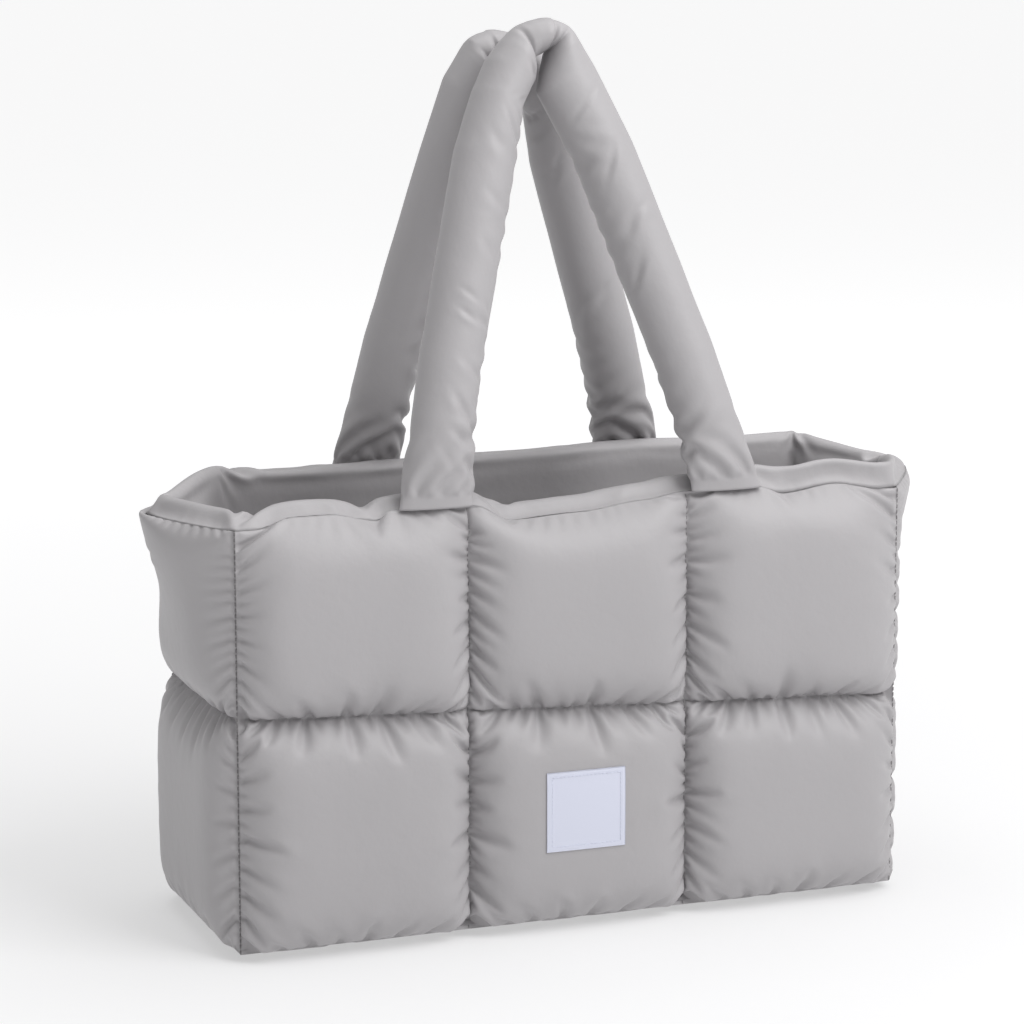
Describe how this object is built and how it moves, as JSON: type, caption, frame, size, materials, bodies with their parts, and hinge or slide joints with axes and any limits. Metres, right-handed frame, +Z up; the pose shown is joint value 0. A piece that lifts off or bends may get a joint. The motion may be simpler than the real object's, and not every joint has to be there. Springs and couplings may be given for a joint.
{
  "type": "quilted puffer tote bag",
  "caption": "Soft padded tote bag with square quilted puffs, an open lined mouth, two padded tube handles and a small blank label on the front.",
  "frame": {"origin": "on the ground, under the middle of the bag's base", "axes": "+Z up, -Y out of the front with the label, +X to the right as seen from the front"},
  "size_m": [0.5419, 0.2011, 0.5818],
  "materials": {
    "shell": "satin",
    "lining": "satin",
    "label": "satin"
  },
  "bodies": {
    "root": {"front_panel": "shell", "back_panel": "shell", "left_panel": "shell", "right_panel": "shell", "base_panel": "shell", "facing_front": "shell", "facing_back": "shell", "facing_left": "shell", "facing_right": "shell", "handle_front": "shell", "handle_back": "shell", "lining_front": "lining", "lining_back": "lining", "lining_left": "lining", "lining_right": "lining", "lining_base": "lining", "label": "label"}
  },
  "joints": []
}
